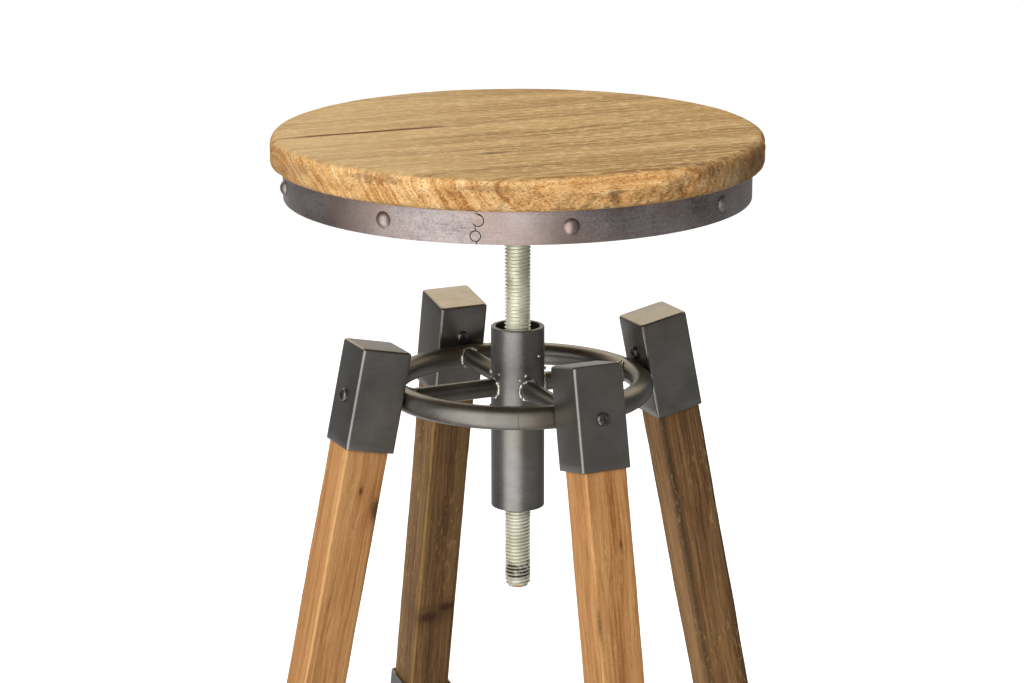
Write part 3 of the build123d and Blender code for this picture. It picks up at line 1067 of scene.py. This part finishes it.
def make_welds(material):
    make_spatter(material)
    make_bead("weld_ring_butt", butt_path(-70.3), 0.28 * MM, steel_kinds["ring"], 50)
    for number, (corner, azimuth) in enumerate(leg_azimuths.items()):
        make_bead("weld_hub_" + corner, spoke_hub_path(azimuth), 1.5 * MM, material, number)
        make_bead("weld_ring_" + corner, spoke_ring_path(azimuth), 1.2 * MM, material, number + 10)
        for word, rising in (("upper", 1), ("lower", -1)):
            path = ring_face_path(corner, ring_radius, ring_height, ring_bar_radius, rising)
            make_bead(f"weld_cap_{word}_{corner}", path, 1.3 * MM, material, number + 20, closed=False)
            path = ring_face_path(corner, footrest_radius, footrest_height, footrest_bar_radius, rising)
            make_bead(f"weld_footrest_{word}_{corner}", path, 1.3 * MM, material, number + 30, closed=False)


# ---- Studio ----

def lamp(name, kind, energy):
    """A light that gives diffuse light only: the tent below gives the reflections."""
    light = bpy.data.lights.new(name, kind)
    light.energy = energy
    made = add_object(name, light)
    made.visible_camera = False
    made.visible_glossy = False
    return made


def soft_box(name, azimuth, distance, height, width, length, level):
    """A soft box aimed at the middle of the stool. Its level is how bright it makes white paint there."""
    made = lamp(name, "AREA", 1.0)
    made.location = place_at(azimuth, distance, height)
    aim = Vector((0, 0, 0.55)) - made.location
    made.data.shape = "RECTANGLE"
    made.data.size = width
    made.data.size_y = length
    made.data.energy = level * pi * pi * aim.length_squared
    made.rotation_euler = aim.to_track_quat("-Z", "Y").to_euler()


def make_tent():
    """A light tent that only reflections see: a bright strip in front, a warm one behind, greys between."""
    view = camera_azimuth - 90
    centre = Vector((0, 0, 0.5))
    tent_radius = 1.3
    n = Shades("tent_light")
    n.nodes.remove(n.nodes["Principled BSDF"])
    ray = n.vector("NORMALIZE", n.vector("SUBTRACT", n.place, centre))
    flat = n.vector("NORMALIZE", n.vector("MULTIPLY", ray, (1, 1, 0)))
    rise = n.add("ShaderNodeSeparateXYZ", {0: ray}).outputs["Z"]

    def lobe(azimuth, wide, narrow):
        """1 within narrow degrees of an azimuth, 0 beyond wide degrees of it."""
        toward = n.measure("DOT_PRODUCT", flat, direction(azimuth))
        return n.fade(toward, cos(radians(wide)), cos(radians(narrow)))

    grey = n.times_plus(n.measure("DOT_PRODUCT", flat, direction(view + 90)), 0.04, 0.26)
    grey = n.times_plus(lobe(view + 50, 46, 12), 0.11, grey)
    grey = n.times_plus(rise, -0.18, grey)
    grey = n.times_plus(n.times(lobe(view - 129, 42, 12), n.fade(rise, -0.2, -0.5)), 0.24, grey)
    key = n.times(lobe(view - 29, 52, 12), n.fade(rise, 0.9, 0.6))
    back = n.times(lobe(view + 180, 75, 35), n.fade(rise, 0.24, 0.62))
    low_back = n.times(lobe(view + 195, 36, 10), 0.35)
    cool = n.calc("ADD", n.times_plus(key, 2.9, grey), low_back)
    cool = n.calc("ADD", cool, n.fade(rise, 0.75, 0.92, 1.4))
    warm = n.add("ShaderNodeVectorMath", {0: (2.4, 2.1, 1.55), "Scale": back}, operation="SCALE").outputs[0]
    total = n.vector("ADD", warm, n.stretched((cool, cool, cool), (1, 1, 1)))
    glow = n.add("ShaderNodeEmission", {"Color": total})
    n.put(n.nodes["Material Output"].inputs["Surface"], glow.outputs[0])
    ball = bmesh.new()
    bmesh.ops.create_uvsphere(ball, u_segments=48, v_segments=32, radius=tent_radius)
    tent = mesh_object("light_tent", ball, n.material)
    for vertex in tent.data.vertices:
        vertex.co.z = max(vertex.co.z + centre.z, 0.4 * MM)
    for kind_of_ray in ("camera", "diffuse", "shadow", "transmission"):
        setattr(tent, "visible_" + kind_of_ray, False)


def make_floor():
    """A pale floor that glows away from the stool, so that it shows shadows near it and no edge far off."""
    n = Shades("floor_paint")
    grain = n.noise(n.place, 3, detail=2)
    glow = n.fade(n.measure("LENGTH", n.place), 0.35, 0.80)
    paint = n.finish(
        Base_Color=n.ramp(grain, (0.3, (0.80, 0.80, 0.80, 1)), (0.7, (0.83, 0.83, 0.83, 1))),
        Roughness=0.9,
        Specular_IOR_Level=0.1,
        Emission_Color=(1, 1, 1, 1),
        Emission_Strength=n.times_plus(glow, 0.47, 0.07),
    )
    half = 30
    corners = [(-half, -half, 0), (half, -half, 0), (half, half, 0), (-half, half, 0)]
    floor = new_piece("floor", corners, [(0, 1, 2, 3)], paint)
    floor.visible_diffuse = False


def make_world():
    """White where the camera sees it, and a low even light elsewhere."""
    world = bpy.data.worlds.new("studio")
    bpy.context.scene.world = world
    world.use_nodes = True
    background = world.node_tree.nodes["Background"]
    seen = world.node_tree.nodes.new("ShaderNodeLightPath").outputs["Is Camera Ray"]
    strength = world.node_tree.nodes.new("ShaderNodeMapRange")
    strength.inputs["To Min"].default_value = 0.33
    strength.inputs["To Max"].default_value = 1.05
    world.node_tree.links.new(seen, strength.inputs["Value"])
    world.node_tree.links.new(strength.outputs["Result"], background.inputs["Strength"])
    background.inputs["Color"].default_value = (1, 1, 1, 1)


def make_studio():
    make_floor()
    make_tent()
    make_world()
    view = camera_azimuth - 90
    overhead = lamp("overhead", "SUN", 0.95)
    overhead.data.angle = radians(50)
    soft_box("key", view - 31, 1.8, 1.3, 0.8, 1.0, 0.74)
    soft_box("back_fill", view + 155, 2.2, 1.5, 1.2, 1.2, 0.34)
    bpy.context.scene.view_settings.view_transform = "Standard"


# ---- The stool ----

make_camera()

seat_materials = {
    "split": speckled("split_wood", rgb(58, 24, 12), rgb(96, 44, 24), 900, 0.0, 0.8, 0.1 * MM),
    "seam": speckled("seam_grime", rgb(22, 19, 18), rgb(40, 34, 32), 900, 0.0, 0.8, 0.1 * MM),
}
wood = seat_wood()
steel_kinds = {
    "band": gunmetal("band_steel", rgb(92, 84, 82), rgb(160, 150, 147), rgb(132, 112, 103), 0.42, 0.35, 0.0),
    "hub": gunmetal("hub_steel", rgb(90, 89, 86), rgb(122, 121, 118), rgb(108, 101, 92), 0.40, 0.25, 1.0),
    "ring": gunmetal("ring_steel", rgb(78, 75, 70), rgb(108, 104, 98), rgb(98, 88, 72), 0.34, 0.15, 2.0),
    "cap": gunmetal("cap_steel", rgb(94, 91, 87), rgb(116, 113, 108), rgb(108, 98, 88), 0.30, 0.06, 3.0),
    # The caps' top faces: coarser ground steel, painted paler and browner as a painted reflection of the
    # overhead light
    "cap_top": gunmetal(
        "cap_top_steel_and_sheen", rgb(94, 88, 80), rgb(132, 124, 112), rgb(114, 102, 88), 0.33, 0.25, 4.0
    ),
}
weld_steel = speckled("weld_steel", rgb(112, 106, 100), rgb(206, 200, 192), 260, 0.9, 0.24, 0.2 * MM)
screw_steel = speckled("screw_steel", rgb(54, 53, 52), rgb(112, 110, 106), 420, 0.9, 0.22, 0.02 * MM)
bush_steel = speckled("greasy_steel", rgb(40, 26, 16), rgb(84, 60, 40), 140, 0.5, 0.5, 0.2 * MM)
glide_plastic = speckled("glide_plastic", rgb(30, 30, 30), rgb(46, 45, 44), 900, 0.0, 0.55, 0.05 * MM)
corners = list(leg_azimuths)
kept_nodes = (
    (steel_kinds["hub"], ["hub_sleeve"]),
    (steel_kinds["band"], ["band_nails"]),
    (steel_kinds["ring"], ["upper_ring", "footrest_ring"] + ["spoke_" + corner for corner in corners]),
    (steel_kinds["cap"], ["seat_plate"] + ["footrest_sleeve_" + corner for corner in corners]),
    (screw_steel, ["seat_plate_screws", "cap_screws_outer", "cap_screws_inner", "footrest_screws"]),
    (bush_steel, ["thread_bush_upper", "thread_bush_lower", "glide_nails"]),
    (glide_plastic, ["floor_glide_" + corner for corner in corners]),
)
for material, names in kept_nodes:
    for name in names:
        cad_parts[name].data.materials.clear()
        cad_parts[name].data.materials.append(material)

make_seat_top(wood)
make_band(steel_kinds["band"])
make_rod(zinc_thread())
for corner in corners:
    make_leg(corner, leg_wood(corner))
    make_cap(corner, steel_kinds["cap"], steel_kinds["cap_top"])
make_welds(weld_steel)
make_studio()
